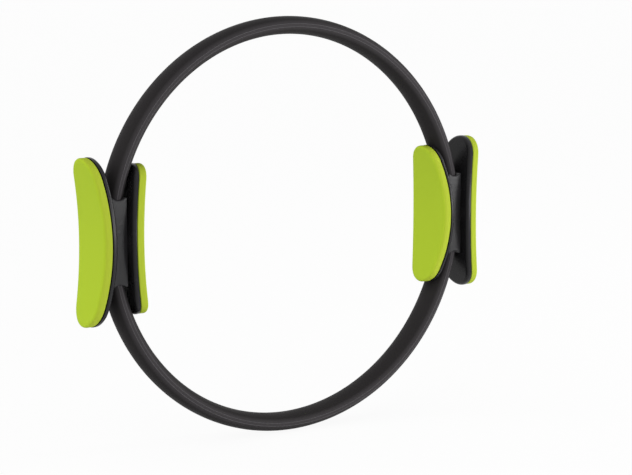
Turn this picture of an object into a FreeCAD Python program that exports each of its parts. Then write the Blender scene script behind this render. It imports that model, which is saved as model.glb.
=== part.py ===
"""Pilates ring: a sprung hoop in a rubber sleeve, with a padded grip on its left and right.

Millimetres. The hoop stands upright: its axis is Y, the grips lie on the X axis, Z is up and the
origin is the hoop's centre. The right grip is modelled and mirrored to make the left one.
"""
import FreeCAD, Part
import math
import os

V = FreeCAD.Vector

# Hoop
hoop_radius = 177.0          # centreline of the hoop
sleeve_thickness = 15.7      # oval rubber sleeve, across the hoop's radius
sleeve_width = 27.6          # oval rubber sleeve, along the hoop's axis
core_thickness = 3.5         # glass-fibre strip inside the sleeve
core_width = 12.0
core_clearance = 0.2         # strip in its slot, each side
core_end_gap = 1.0           # between the ends of the two strips, inside each grip

# Grip plates and pads, as seen along the hoop's radius
outer_pad_length = 141.8
outer_pad_width = 52.2       # at the middle of the bulging long edges
outer_end_radius = 21.3      # round ends, which run smoothly into the long edges
outer_flare_radius = 250.0   # the plate curves away from the hoop towards its ends
inner_pad_length = 127.8
inner_pad_width = 51.2
inner_end_radius = 18.3
inner_flare_radius = 200.0
outer_plate_thickness = 4.3
inner_plate_thickness = 3.9
rim_round = 3.4              # rounded plate edge on the hoop's side
tape_thickness = 0.6         # double-sided foam tape under each pad
tape_inset = 1.2
tape_clearance = 0.15        # tape to plate, and to pad
pad_thickness = 7.2
pad_round = 3.0              # rounded foam edge
plate_margin = 0.3           # plate edge beyond the pad

# Block between the plates
block_height = 71.0          # at the middle of its scooped ends
block_wall = 1.8             # in front of and behind the sleeve
block_outer_bite = 1.4       # into the outer plate, at the middle of the grip
block_inner_bite = 0.5       # into the inner plate
block_edge_round = 0.9
scoop_radius = 8.5           # hollow across each end of the block, where the hoop comes out
scoop_tip_radius = 1.4       # rounded tips on both sides of the hollow
rib_width = 22.0             # rib that carries each plate, behind the block's edges
rib_setback = 2.5            # rib ends short of the block's ends
sleeve_clearance = 0.3       # sleeve in its pocket, each side
sleeve_insertion = 7.0       # how far the sleeve reaches into the block
mouth_clearance = 0.9        # sleeve to outer plate, at the block's ends
end_clearance = 0.4          # sleeve to inner plate, near the plate's ends

# Screws and nuts
screw_diameter = 4.0
screw_hole_clearance = 0.15  # each side
screw_head_diameter = 8.0
screw_head_height = 2.6
screw_head_chamfer = 0.7
screw_socket_width = 2.5     # across the flats
screw_socket_depth = 1.4
head_sink = 0.4              # screw heads and nuts below the plate's face
head_clearance = 0.3
nut_width = 7.0              # across the flats
nut_thickness = 3.2
nut_clearance = 0.1
screw_heights = (8.0, 21.0)  # above and below the middle of the grip

# Sizes that follow from those above
sleeve_a = sleeve_thickness / 2
sleeve_b = sleeve_width / 2
block_half_width = sleeve_b + sleeve_clearance + block_wall
mouth_z = block_height / 2
sleeve_end_angle = math.degrees(math.asin((mouth_z - sleeve_insertion) / hoop_radius))
core_end_angle = math.degrees(math.asin(core_end_gap / 2 / hoop_radius))
half_turn = 180.0


def chord_drop(radius, z):
    """How far an arc of this radius falls away from its tangent at a height z."""
    return radius - math.sqrt(radius ** 2 - z ** 2)


# Radial places of the plates' faces at the middle of the grip, from the hoop's axis
outer_back_radius = outer_flare_radius + outer_plate_thickness
sleeve_outside_at_mouth = hoop_radius + sleeve_a - chord_drop(hoop_radius + sleeve_a, mouth_z)
outer_back_x = sleeve_outside_at_mouth + mouth_clearance - chord_drop(outer_back_radius, mouth_z)
outer_face_x = outer_back_x + outer_plate_thickness
outer_axis_x = outer_face_x + outer_flare_radius

inner_back_radius = inner_flare_radius + inner_plate_thickness
inner_close_z = inner_pad_length / 2 - rim_round
sleeve_inside_at_end = hoop_radius - sleeve_a - chord_drop(hoop_radius - sleeve_a, inner_close_z)
inner_back_x = sleeve_inside_at_end - end_clearance + chord_drop(inner_back_radius, inner_close_z)
inner_face_x = inner_back_x - inner_plate_thickness
inner_axis_x = inner_face_x - inner_flare_radius

# The block fills the space between the plates at the middle of the grip
block_outer_x = outer_back_x + block_outer_bite
block_inner_x = inner_back_x - block_inner_bite
block_x = (block_outer_x + block_inner_x) / 2
block_half_thickness = (block_outer_x - block_inner_x) / 2
screw_seat_x = outer_face_x - head_sink - screw_head_height
nut_seat_x = inner_face_x + head_sink + nut_thickness


def about_y(shape, degrees):
    """A copy turned about the hoop's axis, positive from +X towards +Z."""
    turned = shape.copy()
    turned.rotate(V(0, 0, 0), V(0, -1, 0), degrees)
    return turned


def sweep_hoop(face, first, last):
    """A section drawn at +X, swept round the hoop's axis between two angles."""
    return about_y(face, first).revolve(V(0, 0, 0), V(0, -1, 0), last - first)


def oval_face(thickness_half, width_half):
    """The sleeve's oval section at +X."""
    middle = V(hoop_radius, 0, 0)
    oval = Part.Ellipse(V(hoop_radius, width_half, 0), V(hoop_radius + thickness_half, 0, 0), middle)
    return Part.Face(Part.Wire(oval.toShape()))


def strip_face(margin):
    """The strip's section at +X, grown by a margin on each side."""
    half_t = core_thickness / 2 + margin
    half_w = core_width / 2 + margin
    corner = V(hoop_radius - half_t, -half_w, 0)
    return Part.makePlane(2 * half_t, 2 * half_w, corner, V(0, 0, 1), V(1, 0, 0))


def hoop_core():
    """Upper glass-fibre strip: half a hoop, drilled at both ends for the screws."""
    strip = sweep_hoop(strip_face(0), core_end_angle, half_turn - core_end_angle)
    hole_diameter = screw_diameter + 2 * screw_hole_clearance
    near = hoop_radius - sleeve_thickness
    far = hoop_radius + sleeve_thickness
    for z in screw_heights:
        strip = strip.cut([rod(hole_diameter, near, far, z), rod(hole_diameter, -far, -near, z)])
    return strip


def hoop_sleeve():
    """Upper rubber sleeve: an oval tube with a slot for the strip, from mouth to mouth."""
    section = oval_face(sleeve_a, sleeve_b).cut(strip_face(core_clearance)).Faces[0]
    return sweep_hoop(section, sleeve_end_angle, half_turn - sleeve_end_angle)


def oval_prism(half_width, half_length, end_radius, x0, x1):
    """A prism along X whose outline is two long bulging arcs, tangent to a round at each end."""
    end_z = half_length - end_radius
    side_radius = (half_width ** 2 + end_z ** 2 - end_radius ** 2) / (2 * (half_width - end_radius))
    side_y = half_width - side_radius
    meet = math.atan2(end_z, -side_y)

    def point(y, z, radius, turn):
        return V(x0, y + radius * math.cos(turn), z + radius * math.sin(turn))

    edges = []
    for side in (1, -1):
        bulge = [point(side_y, 0, side_radius, turn) for turn in (-meet, 0, meet)]
        edges.append(Part.Arc(*[V(p.x, side * p.y, p.z) for p in bulge]).toShape())
    for end in (1, -1):
        turns = (meet, math.pi / 2, math.pi - meet)
        cap = [point(0, end_z, end_radius, turn) for turn in turns]
        edges.append(Part.Arc(*[V(p.x, p.y, end * p.z) for p in cap]).toShape())
    outline = Part.Wire(Part.__sortEdges__(edges))
    return Part.Face(outline).extrude(V(x1 - x0, 0, 0))


def curved_sheet(prism, axis_x, small_radius, large_radius):
    """The part of a prism between two cylinders that share an axis along Y."""
    reach = 4 * sleeve_width
    base = V(axis_x, -reach, 0)
    sheet = prism.common(Part.makeCylinder(large_radius, 2 * reach, base, V(0, 1, 0)))
    return sheet.cut(Part.makeCylinder(small_radius, 2 * reach, base, V(0, 1, 0))).Solids[0]


def round_rim(sheet, axis_x, radius_from_axis, fillet):
    """Rounds the edges of a curved sheet that lie on one of its two cylinders."""
    def on_face(p):
        return abs(math.hypot(p.x - axis_x, p.z) - radius_from_axis) < 0.01
    rim = [e for e in sheet.Edges if all(on_face(e.valueAt(t)) for t in e.ParameterRange)]
    return sheet.makeFillet(fillet, rim)


def grip_layers(outer):
    """Plate, tape and pad of one side of the grip, as concentric curved sheets."""
    if outer:
        sizes = (outer_pad_width / 2, outer_pad_length / 2, outer_end_radius)
        axis_x, face_radius, thickness = outer_axis_x, outer_flare_radius, outer_plate_thickness
        span = (outer_back_x, outer_axis_x)
    else:
        sizes = (inner_pad_width / 2, inner_pad_length / 2, inner_end_radius)
        axis_x, face_radius, thickness = inner_axis_x, inner_flare_radius, inner_plate_thickness
        span = (inner_axis_x, inner_back_x)

    def prism(grow):
        grown = [size + grow for size in sizes]
        return oval_prism(*grown, span[0] - thickness, span[1] + thickness)

    tape_back = face_radius - tape_clearance
    tape_face = tape_back - tape_thickness
    pad_base = tape_face - tape_clearance
    pad_face = pad_base - pad_thickness
    plate = curved_sheet(prism(plate_margin), axis_x, face_radius, face_radius + thickness)
    plate = round_rim(plate, axis_x, face_radius + thickness, rim_round)
    tape = curved_sheet(prism(-tape_inset), axis_x, tape_face, tape_back)
    pad = curved_sheet(prism(0), axis_x, pad_face, pad_base)
    pad = round_rim(pad, axis_x, pad_face, pad_round)
    return plate, tape, pad


def grip_block():
    """Upright block round the hoop, with hollowed ends and soft edges."""
    tip_x = block_half_thickness - scoop_tip_radius
    centre_z = mouth_z + scoop_radius
    reach = scoop_radius + scoop_tip_radius
    tip_z = centre_z - math.sqrt(reach ** 2 - tip_x ** 2)
    meet_x = tip_x * scoop_radius / reach
    meet_z = centre_z - (centre_z - tip_z) * scoop_radius / reach
    turn = math.atan2(meet_z - tip_z, meet_x - tip_x) / 2
    tip_middle_x = tip_x + scoop_tip_radius * math.cos(turn)
    tip_middle_z = tip_z + scoop_tip_radius * math.sin(turn)

    def place(x, z):
        return V(block_x + x, -block_half_width, z)

    edges = []
    for end in (1, -1):
        hollow = [place(-meet_x, end * meet_z), place(0, end * mouth_z), place(meet_x, end * meet_z)]
        edges.append(Part.Arc(*hollow).toShape())
    for side in (1, -1):
        face_x = side * block_half_thickness
        edges.append(Part.makeLine(place(face_x, -tip_z), place(face_x, tip_z)))
        for end in (1, -1):
            middle = place(side * tip_middle_x, end * tip_middle_z)
            last = place(side * meet_x, end * meet_z)
            edges.append(Part.Arc(place(face_x, end * tip_z), middle, last).toShape())
    profile = Part.Face(Part.Wire(Part.__sortEdges__(edges)))
    block = profile.extrude(V(0, 2 * block_half_width, 0))
    rims = [e for e in block.Edges if e.BoundBox.YLength < block_half_width]
    return block.makeFillet(block_edge_round, rims)


def hex_prism(across_flats, x0, x1, z):
    """A hexagonal prism along X, centred at a height z."""
    corner = across_flats / math.sqrt(3)
    sixth = math.pi / 3
    points = [V(x0, corner * math.cos(k * sixth), z + corner * math.sin(k * sixth)) for k in range(7)]
    return Part.Face(Part.makePolygon(points)).extrude(V(x1 - x0, 0, 0))


def rod(diameter, x0, x1, z):
    """A round rod along X."""
    return Part.makeCylinder(diameter / 2, abs(x1 - x0), V(min(x0, x1), 0, z), V(1, 0, 0))


def screw_places():
    return [side * z for z in screw_heights for side in (1, -1)]


def grip_shells(outer_plate, inner_plate):
    """The two moulded halves of the housing, closing on the hoop's own curve."""
    rib_height = 2 * (mouth_z - rib_setback)
    rib_corner = V(inner_face_x, -rib_width / 2, -rib_height / 2)
    rib = Part.makeBox(outer_face_x - inner_face_x, rib_width, rib_height, rib_corner)
    body = grip_block().fuse(rib)

    def cross_cylinder(axis_x, radius):
        return Part.makeCylinder(radius, 4 * mouth_z, V(axis_x, -2 * mouth_z, 0), V(0, 1, 0))

    parting = cross_cylinder(0, hoop_radius)
    outer_plate_middle = cross_cylinder(outer_axis_x, outer_flare_radius + outer_plate_thickness / 2)
    inner_plate_middle = cross_cylinder(inner_axis_x, inner_flare_radius + inner_plate_thickness / 2)
    pocket_turn = 2 * math.degrees(math.asin(mouth_z / hoop_radius))
    pocket_face = oval_face(sleeve_a + sleeve_clearance, sleeve_b + sleeve_clearance)
    pocket = sweep_hoop(pocket_face, sleeve_end_angle, pocket_turn)
    slot = sweep_hoop(strip_face(core_clearance), -pocket_turn, pocket_turn)
    hollows = [pocket, pocket.mirror(V(0, 0, 0), V(0, 0, 1)), slot]
    for z in screw_places():
        hollows.append(rod(screw_diameter + 2 * screw_hole_clearance, nut_seat_x, screw_seat_x, z))
        hollows.append(rod(screw_head_diameter + 2 * head_clearance, screw_seat_x, outer_axis_x, z))
        hollows.append(hex_prism(nut_width + 2 * nut_clearance, inner_axis_x, nut_seat_x, z))
    outer_shell = outer_plate.fuse(body.cut([parting, outer_plate_middle]))
    inner_shell = inner_plate.fuse(body.common(parting).cut(inner_plate_middle))
    return [shell.cut(hollows).removeSplitter() for shell in (outer_shell, inner_shell)]


def grip_screws():
    """Socket-headed screws, from under the outer pad to the nuts."""
    screws = []
    tip_x = nut_seat_x - nut_thickness
    for z in screw_places():
        head = rod(screw_head_diameter, screw_seat_x, screw_seat_x + screw_head_height, z)
        crown = [e for e in head.Edges if e.BoundBox.XMin > screw_seat_x + screw_head_height - 0.01]
        head = head.makeChamfer(screw_head_chamfer, crown)
        socket_x = screw_seat_x + screw_head_height - screw_socket_depth
        head = head.cut(hex_prism(screw_socket_width, socket_x, outer_axis_x, z))
        screws.append(head.fuse(rod(screw_diameter, tip_x, screw_seat_x, z)).removeSplitter())
    return Part.makeCompound(screws)


def grip_nuts():
    """Hexagonal nuts, trapped under the inner pad."""
    nuts = []
    for z in screw_places():
        body = hex_prism(nut_width, nut_seat_x - nut_thickness, nut_seat_x, z)
        bore = rod(screw_diameter, nut_seat_x - nut_thickness, nut_seat_x, z)
        nuts.append(body.cut(bore))
    return Part.makeCompound(nuts)


def build():
    """All the pieces, by name."""
    pieces = {}
    core = hoop_core()
    sleeve = hoop_sleeve()
    for name, shape in (("hoop_core", core), ("hoop_sleeve", sleeve)):
        pieces[name + "_upper"] = shape
        pieces[name + "_lower"] = shape.mirror(V(0, 0, 0), V(0, 0, 1))

    outer_plate, outer_tape, outer_pad = grip_layers(True)
    inner_plate, inner_tape, inner_pad = grip_layers(False)
    outer_shell, inner_shell = grip_shells(outer_plate, inner_plate)
    right = {
        "outer_shell": outer_shell,
        "inner_shell": inner_shell,
        "outer_tape": outer_tape,
        "inner_tape": inner_tape,
        "outer_pad": outer_pad,
        "inner_pad": inner_pad,
        "screws": grip_screws(),
        "nuts": grip_nuts(),
    }
    for name, shape in right.items():
        pieces["right_" + name] = shape
        pieces["left_" + name] = shape.mirror(V(0, 0, 0), V(1, 0, 0))
    return pieces


os.makedirs("parts", exist_ok=True)
for node, piece in build().items():
    piece.exportStep("parts/" + node + ".step")
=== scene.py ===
"""Studio scene of a pilates ring. Metres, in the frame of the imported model.

The hoop's axis is Y, the grips lie on the X axis, Z is up and the origin is the hoop's centre.
"""
import math

import bmesh
import bpy
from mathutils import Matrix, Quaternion, Vector


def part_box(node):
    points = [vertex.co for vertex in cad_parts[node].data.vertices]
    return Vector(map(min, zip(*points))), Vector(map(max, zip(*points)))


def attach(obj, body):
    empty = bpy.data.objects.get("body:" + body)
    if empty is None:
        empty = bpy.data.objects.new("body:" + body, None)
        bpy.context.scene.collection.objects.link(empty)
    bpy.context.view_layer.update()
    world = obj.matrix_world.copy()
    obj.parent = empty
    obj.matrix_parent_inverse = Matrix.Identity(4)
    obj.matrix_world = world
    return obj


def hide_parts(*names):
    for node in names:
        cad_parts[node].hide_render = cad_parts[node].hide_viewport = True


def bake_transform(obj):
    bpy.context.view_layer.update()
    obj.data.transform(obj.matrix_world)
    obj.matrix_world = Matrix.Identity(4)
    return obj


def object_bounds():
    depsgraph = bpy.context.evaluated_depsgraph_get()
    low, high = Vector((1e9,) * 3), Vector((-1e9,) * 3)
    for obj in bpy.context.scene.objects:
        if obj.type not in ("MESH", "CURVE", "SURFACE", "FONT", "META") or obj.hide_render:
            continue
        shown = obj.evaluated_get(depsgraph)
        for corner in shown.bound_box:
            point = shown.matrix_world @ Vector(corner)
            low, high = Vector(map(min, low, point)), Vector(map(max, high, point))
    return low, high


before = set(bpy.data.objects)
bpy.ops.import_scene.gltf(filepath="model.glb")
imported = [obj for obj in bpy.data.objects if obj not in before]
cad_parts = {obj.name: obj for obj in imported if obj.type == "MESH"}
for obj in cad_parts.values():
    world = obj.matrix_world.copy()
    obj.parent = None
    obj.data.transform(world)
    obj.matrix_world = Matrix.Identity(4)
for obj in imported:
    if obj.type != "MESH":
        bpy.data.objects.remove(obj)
cad_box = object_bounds()

# Hoop
HOOP_RADIUS = 0.177
SLOT_THICKNESS = 0.0039           # slot in the sleeve for the strip
SLOT_WIDTH = 0.0124
RIDGE_HEIGHT = 0.00030            # two fine moulded lines along the front and back of the sleeve
RIDGE_HALF_WIDTH = 0.0004
RIDGE_OFFSET = 0.0014             # from the middle of the front
SLEEVE_STEPS = 220                # round half the hoop
LINE_STEPS = 10                   # across the moulded lines, on each side of the front's middle
FLANK_STEPS = 10                  # from there to the sleeve's flank
FRONT_FADE = (0.0108, 0.0138)     # depths between which the sleeve's front and back turn paler, a painted highlight
LINE_FADE = (0.01381, 0.01392)    # depths between which the moulded lines turn paler still, a painted highlight on their tops

# Foam pads
PAD_THICKNESS = 0.0072
PAD_EDGE_ROUND = 0.0030
PAD_BASE_ROUND = 0.0005
PAD_CROWN = 0.0003                # the middle of the foam stands a little proud
OUTER_END_RADIUS = 0.0213         # round ends of the pads, seen along the hoop's radius
INNER_END_RADIUS = 0.0183
OUTER_BACK_RADIUS = 0.2491        # saddle curve of the pads' backs
INNER_BACK_RADIUS = 0.1991
ARC_STEPS = 26                    # along each arc of a pad's outline
BASE_ROUND_STEPS = 3
EDGE_ROUND_STEPS = 8
SIDE_RINGS = (0.25, 0.45)         # heights of the rings on a pad's side, as shares of its thickness
FACE_RINGS = 10                   # from a pad's edge to its spine
FOAM_FACE_FADE = (0.4, 0.9)       # lean towards X at which the painted shade on a pad's edge gives way to its face

# Grip housing
BLOCK_MIDDLE = 0.17325            # of the block between the plates, painted paler as a highlight, from the hoop's axis
BLOCK_HALF = 0.0063
BLOCK_FADE = 0.0004
RIM_FADE = (0.35, 0.75)           # lean towards X at which a plate's rim, painted paler as a highlight, turns into its face

# Colours
FOAM_FACE = (0.415, 0.564, 0.028)
# painted shade: the pads' edges are coloured darker than their faces
FOAM_EDGE_SHADE = (0.408, 0.508, 0.032)
RUBBER_FLANK = (0.0232, 0.0214, 0.0221)
# painted highlight: the sleeve's front, back and moulded lines are coloured paler
RUBBER_FRONT_HIGHLIGHT = (0.0530, 0.0490, 0.0520)
RUBBER_LINES_HIGHLIGHT = (0.170, 0.163, 0.173)
PLASTIC_FACE = (0.0090, 0.0087, 0.0094)
# painted highlight: the plates' rims and the block between them are coloured paler than the faces
PLASTIC_RIM_HIGHLIGHT = (0.0200, 0.0195, 0.0207)
PLASTIC_BLOCK_HIGHLIGHT = (0.025, 0.0244, 0.0262)
TAPE_BLACK = (0.008, 0.008, 0.008)
FIBRE_MIDDLE = (0.5, 0.47, 0.33)
FIBRE_PALE = (0.58, 0.55, 0.42)
FIBRE_DARK = (0.44, 0.41, 0.28)
ZINC_GREY = (0.56, 0.56, 0.57)
FLOOR_WHITE = (0.95, 0.95, 0.95)
WHITE = (1.0, 1.0, 1.0)

# Light
WORLD_LIGHT = 0.33
WORLD_SEEN = 0.98                 # how bright the surroundings look
FLOOR_GLOW = 0.93                 # share of plain white in what is seen of the floor
FLOOR_REACH = 30.0
KEY_STRENGTH = 1.95
KEY_SPREAD = math.radians(90.0)
KEY_PLACE = (-1.5, -0.1, 1.3)
SOFTBOXES = (                     # name, place, width, height, watts
    ("front_softbox", (0.80, -1.14, -0.03), 1.1, 0.24, 8.2),
    ("side_softbox", (1.9, -0.6, 0.3), 0.4, 1.0, 10.0),
)

# View of the photograph
IMAGE_WIDTH = 632
IMAGE_HEIGHT = 475
VIEW_YAW = math.radians(31.89)
VIEW_ELEVATION = math.radians(7.79)
VIEW_ROLL = math.radians(-0.18)
VIEW_DISTANCE = 1.5355
FOCAL_PIXELS = 1728.86
CENTRE_PIXEL = (287.81, 225.47)   # where the hoop's centre lies in the picture
SENSOR = 36.0


# Mesh helpers

def mesh_object(name, points, faces):
    """A new smooth object from points and faces, with its normals outward."""
    mesh = bpy.data.meshes.new(name)
    mesh.from_pydata(points, [], faces)
    shape = bmesh.new()
    shape.from_mesh(mesh)
    bmesh.ops.recalc_face_normals(shape, faces=shape.faces)
    shape.to_mesh(mesh)
    shape.free()
    mesh.shade_smooth()
    obj = bpy.data.objects.new(name, mesh)
    bpy.context.scene.collection.objects.link(obj)
    return obj


def ring_faces(first, second, count):
    """Quads between two closed rings of points, by the index where each ring starts."""
    faces = []
    for k in range(count):
        after = (k + 1) % count
        faces.append((first + k, first + after, second + after, second + k))
    return faces


# Hoop

def sleeve_section(half_thickness, half_width):
    """The sleeve's oval as (radial, axial) offsets, with two fine raised lines at each narrow end."""
    spacing = RIDGE_HALF_WIDTH / 2
    near = [math.asin(spacing * k / half_thickness) for k in range(LINE_STEPS + 1)]
    rest = math.pi / 2 - near[-1]
    far = [near[-1] + rest * k / FLANK_STEPS for k in range(1, FLANK_STEPS)]
    spread = near + far
    offsets = [-math.pi / 2] + [-o for o in reversed(spread[1:])] + spread
    section = []
    for apex in (-1, 1):
        for offset in offsets:
            radial = half_thickness * math.sin(-apex * offset)
            beside = (abs(radial) - RIDGE_OFFSET) / RIDGE_HALF_WIDTH
            lift = RIDGE_HEIGHT * max(0.0, 1.0 - beside ** 2)
            section.append((radial, apex * (half_width * math.cos(offset) + lift)))
    return section


def slot_section():
    """The slot in the middle of the sleeve, as (radial, axial) offsets."""
    half_t = SLOT_THICKNESS / 2
    half_w = SLOT_WIDTH / 2
    return [(half_t, half_w), (-half_t, half_w), (-half_t, -half_w), (half_t, -half_w)]


def make_sleeve(half, side):
    """Half of the oval sleeve: its outside, the slot along it, and its two ends."""
    low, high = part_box("hoop_sleeve_" + half)
    half_width = high[1]
    half_thickness = max(high[2], -low[2]) - HOOP_RADIUS
    end_height = min(abs(low[2]), abs(high[2]))
    first = math.asin(end_height / (HOOP_RADIUS - half_thickness))
    points = []
    faces = []
    ends = []
    for section in (sleeve_section(half_thickness, half_width), slot_section()):
        starts = []
        for k in range(SLEEVE_STEPS + 1):
            turn = first + (math.pi - 2 * first) * k / SLEEVE_STEPS
            starts.append(len(points))
            for radial, axial in section:
                radius = HOOP_RADIUS + radial
                points.append((radius * math.cos(turn), axial, side * radius * math.sin(turn)))
        for k in range(SLEEVE_STEPS):
            faces += ring_faces(starts[k], starts[k + 1], len(section))
        ends.append((starts, len(section)))
    sleeve = mesh_object("sleeve_" + half, points, faces)
    close_ends(sleeve, ends)
    return sleeve


def close_ends(sleeve, ends):
    """Joins the outside and the slot by flat rings at both ends of a sleeve."""
    (outer, outer_count), (inner, inner_count) = ends
    shape = bmesh.new()
    shape.from_mesh(sleeve.data)
    shape.verts.ensure_lookup_table()
    for k in (0, SLEEVE_STEPS):
        edges = []
        for start, count in ((outer[k], outer_count), (inner[k], inner_count)):
            for j in range(count):
                pair = (shape.verts[start + j], shape.verts[start + (j + 1) % count])
                edges.append(shape.edges.get(pair))
        bmesh.ops.bridge_loops(shape, edges=edges)
    bmesh.ops.recalc_face_normals(shape, faces=shape.faces)
    shape.to_mesh(sleeve.data)
    shape.free()
    sleeve.data.shade_smooth()


def make_core(half):
    """The spring strip: the CAD strip's own mesh."""
    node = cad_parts["hoop_core_" + half]
    core = bpy.data.objects.new("strip_" + half, node.data.copy())
    bpy.context.scene.collection.objects.link(core)
    return core


def make_hoop(rubber, fibre):
    """Both halves of the hoop, each a sleeve and a strip between the grips."""
    for half, side in (("upper", 1), ("lower", -1)):
        pieces = (
            (make_sleeve(half, side), "hoop_sleeve_" + half, rubber, "sleeve_rubber"),
            (make_core(half), "hoop_core_" + half, fibre, "glass_fibre"),
        )
        for piece, node, finish, slot in pieces:
            piece.data.materials.clear()
            piece.data.materials.append(finish)
            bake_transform(piece)
            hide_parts(node)


# Foam pads

def oval_outline(half_width, half_length, end_radius, inset):
    """A closed outline of two long bulging arcs, tangent to a round at each end, drawn in by an inset.

    It starts at (half width, 0) and has as many points in each quarter.
    """
    end_z = half_length - end_radius
    bulge = half_width ** 2 + end_z ** 2 - end_radius ** 2
    side_radius = bulge / (2 * (half_width - end_radius))
    side_y = half_width - side_radius
    meet = math.atan2(end_z, -side_y)
    arcs = (
        (side_y, 0.0, side_radius, 0.0, meet),
        (0.0, end_z, end_radius, meet, math.pi / 2),
    )
    quarter = []
    for y, z, radius, start, stop in arcs:
        reach = radius - inset
        for k in range(ARC_STEPS):
            turn = start + (stop - start) * k / ARC_STEPS
            quarter.append((y + reach * math.cos(turn), z + reach * math.sin(turn)))
    tip = half_length - inset
    outline = quarter + [(0.0, tip)]
    outline += [(-y, z) for y, z in reversed(quarter)]
    outline += [(-y, -z) for y, z in quarter[1:]] + [(0.0, -tip)]
    outline += [(y, -z) for y, z in reversed(quarter[1:])]
    return outline


def strip_faces(start, quarter):
    """Quads across the innermost ring of a pad's face, from each point to its mirror image."""
    faces = []
    count = 4 * quarter
    bottom = 3 * quarter
    for k in range(quarter):
        upper = (k, k + 1, 2 * quarter - k - 1, 2 * quarter - k)
        lower = (bottom + k, (bottom + k + 1) % count, bottom - k - 1, bottom - k)
        for face in (upper, lower):
            corners = list(dict.fromkeys(start + index for index in face))
            faces.append(corners)
    return faces


def edge_profile():
    """The edge of a pad, from its back to its face, as (height, inset)."""
    profile = []
    for k in range(BASE_ROUND_STEPS + 1):
        turn = math.pi / 2 * k / BASE_ROUND_STEPS
        rise = PAD_BASE_ROUND * (1 - math.cos(turn))
        profile.append((rise, PAD_BASE_ROUND * (1 - math.sin(turn))))
    profile += [(PAD_THICKNESS * share, 0.0) for share in SIDE_RINGS]
    for k in range(EDGE_ROUND_STEPS + 1):
        turn = math.pi / 2 * k / EDGE_ROUND_STEPS
        rise = PAD_THICKNESS - PAD_EDGE_ROUND * (1 - math.sin(turn))
        profile.append((rise, PAD_EDGE_ROUND * (1 - math.cos(turn))))
    return profile


def towards_spine(ring, spine_end, share, height):
    """A ring of (y, z, height) points, drawn in to the pad's spine by a share, at a height."""
    moved = []
    for y, z, _ in ring:
        spine_z = max(-spine_end, min(spine_end, z))
        moved.append((y * (1 - share), z + (spine_z - z) * share, height))
    return moved


def pad_rings(half_width, half_length, end_radius):
    """Rings of (y, z, height) points over a pad, from its back's spine round to its face's spine."""
    rings = []
    for height, inset in edge_profile():
        outline = oval_outline(half_width, half_length, end_radius, inset)
        rings.append([(y, z, height) for y, z in outline])
    back = rings[0]
    face = rings[-1]
    spine_end = half_length - half_width
    for k in range(1, FACE_RINGS):
        share = k / FACE_RINGS
        crown = PAD_CROWN * (1 - (1 - share) ** 2)
        rings.append(towards_spine(face, spine_end, share, PAD_THICKNESS + crown))
        rings.insert(0, towards_spine(back, spine_end, share, 0.0))
    return rings


def make_pad(side, place, foam):
    """A foam pad: oval outline, saddle-curved face, rounded edge."""
    outer = place == "outer"
    end_radius = OUTER_END_RADIUS if outer else INNER_END_RADIUS
    back_radius = OUTER_BACK_RADIUS if outer else INNER_BACK_RADIUS
    sign = 1 if side == "right" else -1
    low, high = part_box("right_" + place + "_pad")
    axis_x = low[0] + back_radius if outer else high[0] - back_radius

    def place_point(y, z, height):
        rise = math.sqrt((back_radius - height) ** 2 - z ** 2)
        x = axis_x - rise if outer else axis_x + rise
        return (sign * x, y, z)

    rings = pad_rings(high[1], high[2], end_radius)
    count = len(rings[0])
    last = (len(rings) - 1) * count
    points = [place_point(*point) for ring in rings for point in ring]
    faces = []
    for start in range(0, last, count):
        faces += ring_faces(start, start + count, count)
    faces += strip_faces(0, count // 4)
    faces += strip_faces(last, count // 4)
    pad = mesh_object(side + "_" + place + "_foam", points, faces)
    pad.data.materials.append(foam)
    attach(pad, side + "_grip")
    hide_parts(side + "_" + place + "_pad")


# Material helpers

def new_material(name, colour, roughness):
    """A plain material to add detail to: the material, its node tree and its shader."""
    material = bpy.data.materials.new(name)
    material.use_nodes = True
    tree = material.node_tree
    shader = tree.nodes["Principled BSDF"]
    shader.inputs["Base Color"].default_value = (*colour, 1.0)
    shader.inputs["Roughness"].default_value = roughness
    return material, tree, shader


def coordinates(tree, kind="Object"):
    """The place on the object, or with Normal the way that its surface faces."""
    return tree.nodes.new("ShaderNodeTexCoord").outputs[kind]


def split_axes(tree, vector):
    """The X, Y and Z of a vector, by name."""
    split = tree.nodes.new("ShaderNodeSeparateXYZ")
    tree.links.new(vector, split.inputs["Vector"])
    return split.outputs


def join_axes(tree, x, y):
    """A vector from two values."""
    joined = tree.nodes.new("ShaderNodeCombineXYZ")
    tree.links.new(x, joined.inputs["X"])
    tree.links.new(y, joined.inputs["Y"])
    return joined.outputs["Vector"]


def add_math(tree, operation, value, second=0.0):
    """A sum on a value, with a second value that is fixed or another node's."""
    node = tree.nodes.new("ShaderNodeMath")
    node.operation = operation
    tree.links.new(value, node.inputs[0])
    if isinstance(second, float):
        node.inputs[1].default_value = second
    else:
        tree.links.new(second, node.inputs[1])
    return node.outputs["Value"]


def add_noise(tree, vector, scale, detail=3.0):
    """Fine noise over a vector."""
    noise = tree.nodes.new("ShaderNodeTexNoise")
    noise.inputs["Scale"].default_value = scale
    noise.inputs["Detail"].default_value = detail
    tree.links.new(vector, noise.inputs["Vector"])
    return noise.outputs["Fac"]


def add_range(tree, value, low, high, limits=(0.3, 0.7)):
    """Maps a value between two limits, by default those of noise, to a range."""
    span = tree.nodes.new("ShaderNodeMapRange")
    span.inputs["From Min"].default_value = limits[0]
    span.inputs["From Max"].default_value = limits[1]
    span.inputs["To Min"].default_value = low
    span.inputs["To Max"].default_value = high
    tree.links.new(value, span.inputs["Value"])
    return span.outputs["Result"]


def lean_to_x(tree):
    """How far the surface faces along X, either way: 1 on a face of a pad or plate, 0 on its rim."""
    facing = split_axes(tree, coordinates(tree, "Normal"))
    return add_math(tree, "ABSOLUTE", facing["X"])


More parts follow.
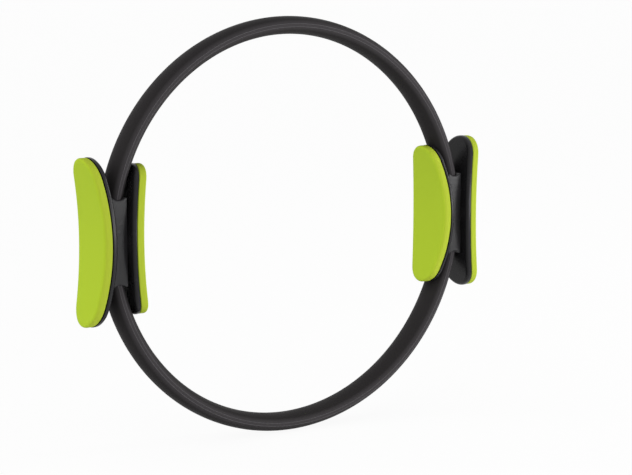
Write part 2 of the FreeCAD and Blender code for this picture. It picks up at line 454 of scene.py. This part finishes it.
def vary_colour(tree, shader, factor, second, first=None):
    """Mixes a second colour into the shader's base colour, or into a first one, by a factor."""
    mix = tree.nodes.new("ShaderNodeMix")
    mix.data_type = "RGBA"
    base = shader.inputs["Base Color"]
    if base.is_linked:
        tree.links.new(base.links[0].from_socket, mix.inputs["A"])
    else:
        mix.inputs["A"].default_value = (*first, 1.0) if first else base.default_value
    mix.inputs["B"].default_value = (*second, 1.0)
    tree.links.new(factor, mix.inputs["Factor"])
    tree.links.new(mix.outputs["Result"], base)


def vary_roughness(tree, shader, where, scale, low, high):
    """Makes the roughness uneven, between two values."""
    uneven = add_range(tree, add_noise(tree, where, scale), low, high)
    tree.links.new(uneven, shader.inputs["Roughness"])


def add_bump(tree, shader, height, strength, distance, under=None):
    """Bumps the surface by a height, over another bump where one is given."""
    bump = tree.nodes.new("ShaderNodeBump")
    bump.inputs["Strength"].default_value = strength
    bump.inputs["Distance"].default_value = distance
    tree.links.new(height, bump.inputs["Height"])
    if under is not None:
        tree.links.new(under, bump.inputs["Normal"])
    tree.links.new(bump.outputs["Normal"], shader.inputs["Normal"])
    return bump.outputs["Normal"]


# Materials

def foam_material():
    """Closed-cell green foam: matt and finely pored, its edge painted a little darker than its face as
    shade.
    """
    material, tree, shader = new_material("green_foam", FOAM_FACE, roughness=0.8)
    shader.inputs["Specular IOR Level"].default_value = 0.18
    # painted shade: the edge takes the darker colour where the surface leans away from X
    face = add_range(tree, lean_to_x(tree), 0.0, 1.0, FOAM_FACE_FADE)
    vary_colour(tree, shader, face, FOAM_FACE, FOAM_EDGE_SHADE)
    pores = add_noise(tree, coordinates(tree), scale=1500.0, detail=2.0)
    add_bump(tree, shader, pores, strength=0.18, distance=0.0003)
    return material


def rubber_material():
    """Black matt rubber with a faint drawn grain, painted paler as a highlight at its front, its back and on
    the moulded lines.
    """
    material, tree, shader = new_material("black_rubber", RUBBER_FLANK, roughness=0.5)
    shader.inputs["Specular IOR Level"].default_value = 0.025
    where = coordinates(tree)
    axes = split_axes(tree, where)
    radius = tree.nodes.new("ShaderNodeVectorMath")
    radius.operation = "LENGTH"
    tree.links.new(join_axes(tree, axes["X"], axes["Z"]), radius.inputs[0])
    across = join_axes(tree, radius.outputs["Value"], axes["Y"])
    depth = add_math(tree, "ABSOLUTE", axes["Y"])
    # painted highlight: the front and back of the sleeve, and the tops of its moulded lines, turn paler
    vary_colour(tree, shader, add_range(tree, depth, 0.0, 1.0, FRONT_FADE), RUBBER_FRONT_HIGHLIGHT)
    vary_colour(tree, shader, add_range(tree, depth, 0.0, 1.0, LINE_FADE), RUBBER_LINES_HIGHLIGHT)
    lines = add_noise(tree, across, scale=900.0, detail=2.0)
    grain = add_noise(tree, where, scale=2500.0, detail=2.0)
    drawn = add_bump(tree, shader, lines, strength=0.10, distance=0.0003)
    add_bump(tree, shader, grain, strength=0.10, distance=0.0002, under=drawn)
    vary_roughness(tree, shader, where, scale=40.0, low=0.46, high=0.54)
    return material


def plastic_material():
    """Black moulded plastic with a fine grain, with painted highlights that make the rims and the block
    between the plates paler.
    """
    material, tree, shader = new_material("black_plastic", PLASTIC_FACE, roughness=0.26)
    shader.inputs["Specular IOR Level"].default_value = 0.15
    where = coordinates(tree)
    # painted highlight: the rims and the block between the plates are made paler than the faces
    rim_highlight = add_range(tree, lean_to_x(tree), 1.0, 0.0, RIM_FADE)
    vary_colour(tree, shader, rim_highlight, PLASTIC_RIM_HIGHLIGHT)
    outward = add_math(tree, "ABSOLUTE", split_axes(tree, where)["X"])
    beside = add_math(tree, "ABSOLUTE", add_math(tree, "SUBTRACT", outward, BLOCK_MIDDLE))
    block_highlight = add_range(tree, beside, 1.0, 0.0, (BLOCK_HALF, BLOCK_HALF + BLOCK_FADE))
    vary_colour(tree, shader, block_highlight, PLASTIC_BLOCK_HIGHLIGHT)
    grain = add_noise(tree, where, scale=1800.0, detail=3.0)
    add_bump(tree, shader, grain, strength=0.14, distance=0.0003)
    vary_roughness(tree, shader, where, scale=60.0, low=0.23, high=0.29)
    return material


def tape_material():
    """Black double-sided foam tape."""
    material, tree, shader = new_material("foam_tape", TAPE_BLACK, roughness=0.9)
    cells = add_noise(tree, coordinates(tree), scale=1200.0)
    add_bump(tree, shader, cells, strength=0.3, distance=0.0003)
    return material


def fibre_material():
    """Pale glass-fibre strip with fine strands."""
    material, tree, shader = new_material("glass_fibre", FIBRE_MIDDLE, roughness=0.4)
    strands = add_noise(tree, coordinates(tree), scale=700.0)
    vary_colour(tree, shader, add_range(tree, strands, 0.0, 1.0), FIBRE_PALE, FIBRE_DARK)
    return material


def steel_material():
    """Zinc-plated steel of the screws and nuts."""
    material, tree, shader = new_material("zinc_steel", ZINC_GREY, roughness=0.32)
    shader.inputs["Metallic"].default_value = 1.0
    vary_roughness(tree, shader, coordinates(tree), scale=900.0, low=0.25, high=0.42)
    return material


def paint_node(node, finish):
    """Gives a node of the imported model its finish."""
    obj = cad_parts[node]
    obj.data.materials.clear()
    obj.data.materials.append(finish)


def paint_grips(plastic, tape, steel):
    """Finishes of the housings, the tapes, the screws and the nuts."""
    for side in ("left", "right"):
        for place in ("outer", "inner"):
            paint_node(side + "_" + place + "_shell", plastic)
            paint_node(side + "_" + place + "_tape", tape)
        paint_node(side + "_screws", steel)
        paint_node(side + "_nuts", steel)


# Stage, light and camera

def is_seen(tree):
    """1 for what the camera sees, directly, in a gloss or through glass, and 0 for other light."""
    path = tree.nodes.new("ShaderNodeLightPath").outputs
    glossy = add_math(tree, "MAXIMUM", path["Is Camera Ray"], path["Is Glossy Ray"])
    return add_math(tree, "MAXIMUM", glossy, path["Is Transmission Ray"])


def mix_shaders(tree, share, first, second, output):
    """Links a mix of two shaders, by the share of the second, to an output node."""
    mix = tree.nodes.new("ShaderNodeMixShader")
    tree.links.new(share, mix.inputs["Fac"])
    tree.links.new(first, mix.inputs[1])
    tree.links.new(second, mix.inputs[2])
    tree.links.new(mix.outputs["Shader"], tree.nodes[output].inputs["Surface"])


def make_world():
    """White surroundings that light the ring less than they are seen."""
    world = bpy.data.worlds.new("studio")
    world.use_nodes = True
    bpy.context.scene.world = world
    tree = world.node_tree
    light = tree.nodes["Background"]
    seen = tree.nodes.new("ShaderNodeBackground")
    for background, strength in ((light, WORLD_LIGHT), (seen, WORLD_SEEN)):
        background.inputs["Color"].default_value = (*WHITE, 1.0)
        background.inputs["Strength"].default_value = strength
    pair = (light.outputs["Background"], seen.outputs["Background"])
    mix_shaders(tree, is_seen(tree), *pair, "World Output")


def make_floor():
    """A white floor that keeps a soft shadow of the ring."""
    level = cad_box[0][2]
    corners = [
        (-FLOOR_REACH, -FLOOR_REACH, level),
        (FLOOR_REACH, -FLOOR_REACH, level),
        (FLOOR_REACH, FLOOR_REACH, level),
        (-FLOOR_REACH, FLOOR_REACH, level),
    ]
    floor = mesh_object("floor", corners, [(0, 1, 2, 3)])
    material, tree, shader = new_material("floor_white", FLOOR_WHITE, roughness=1.0)
    shader.inputs["Specular IOR Level"].default_value = 0.0
    glow = tree.nodes.new("ShaderNodeEmission")
    glow.inputs["Strength"].default_value = 1.0
    share = add_math(tree, "MULTIPLY", is_seen(tree), FLOOR_GLOW)
    mix_shaders(tree, share, shader.outputs["BSDF"], glow.outputs["Emission"], "Material Output")
    floor.data.materials.append(material)


def aim_lamp(data, place):
    """A lamp at a place, turned towards the ring's centre. The key light isn't mirrored in gloss."""
    lamp = bpy.data.objects.new(data.name, data)
    lamp.location = place
    lamp.visible_camera = False
    lamp.visible_glossy = data.type != "SUN"
    lamp.rotation_euler = (-Vector(place)).to_track_quat("-Z", "Y").to_euler()
    bpy.context.scene.collection.objects.link(lamp)


def make_lamps():
    """A soft key light from the upper left, a low softbox in front on the right, a tall one at the right."""
    key = bpy.data.lights.new("key", "SUN")
    key.energy = KEY_STRENGTH
    key.angle = KEY_SPREAD
    aim_lamp(key, KEY_PLACE)
    for name, place, width, height, power in SOFTBOXES:
        softbox = bpy.data.lights.new(name, "AREA")
        softbox.shape = "RECTANGLE"
        softbox.size = width
        softbox.size_y = height
        softbox.energy = power
        aim_lamp(softbox, place)


def make_camera():
    """The photograph's view: the hoop's centre falls on its own pixel."""
    data = bpy.data.cameras.new("camera")
    data.sensor_fit = "HORIZONTAL"
    data.sensor_width = SENSOR
    data.lens = FOCAL_PIXELS * SENSOR / IMAGE_WIDTH
    data.shift_x = (IMAGE_WIDTH / 2 - CENTRE_PIXEL[0]) / IMAGE_WIDTH
    data.shift_y = (CENTRE_PIXEL[1] - IMAGE_HEIGHT / 2) / IMAGE_WIDTH
    camera = bpy.data.objects.new("camera", data)
    level = math.cos(VIEW_ELEVATION)
    side = -math.sin(VIEW_YAW) * level
    front = -math.cos(VIEW_YAW) * level
    towards = Vector((side, front, math.sin(VIEW_ELEVATION)))
    camera.location = VIEW_DISTANCE * towards
    upright = (-towards).to_track_quat("-Z", "Y")
    camera.rotation_euler = (upright @ Quaternion((0, 0, 1), VIEW_ROLL)).to_euler()
    bpy.context.scene.collection.objects.link(camera)
    bpy.context.scene.camera = camera


bpy.context.scene.view_settings.view_transform = "Standard"
make_camera()
make_world()
make_floor()
make_lamps()

make_hoop(rubber_material(), fibre_material())
foam = foam_material()
for side in ("left", "right"):
    for place in ("outer", "inner"):
        make_pad(side, place, foam)
paint_grips(plastic_material(), tape_material(), steel_material())
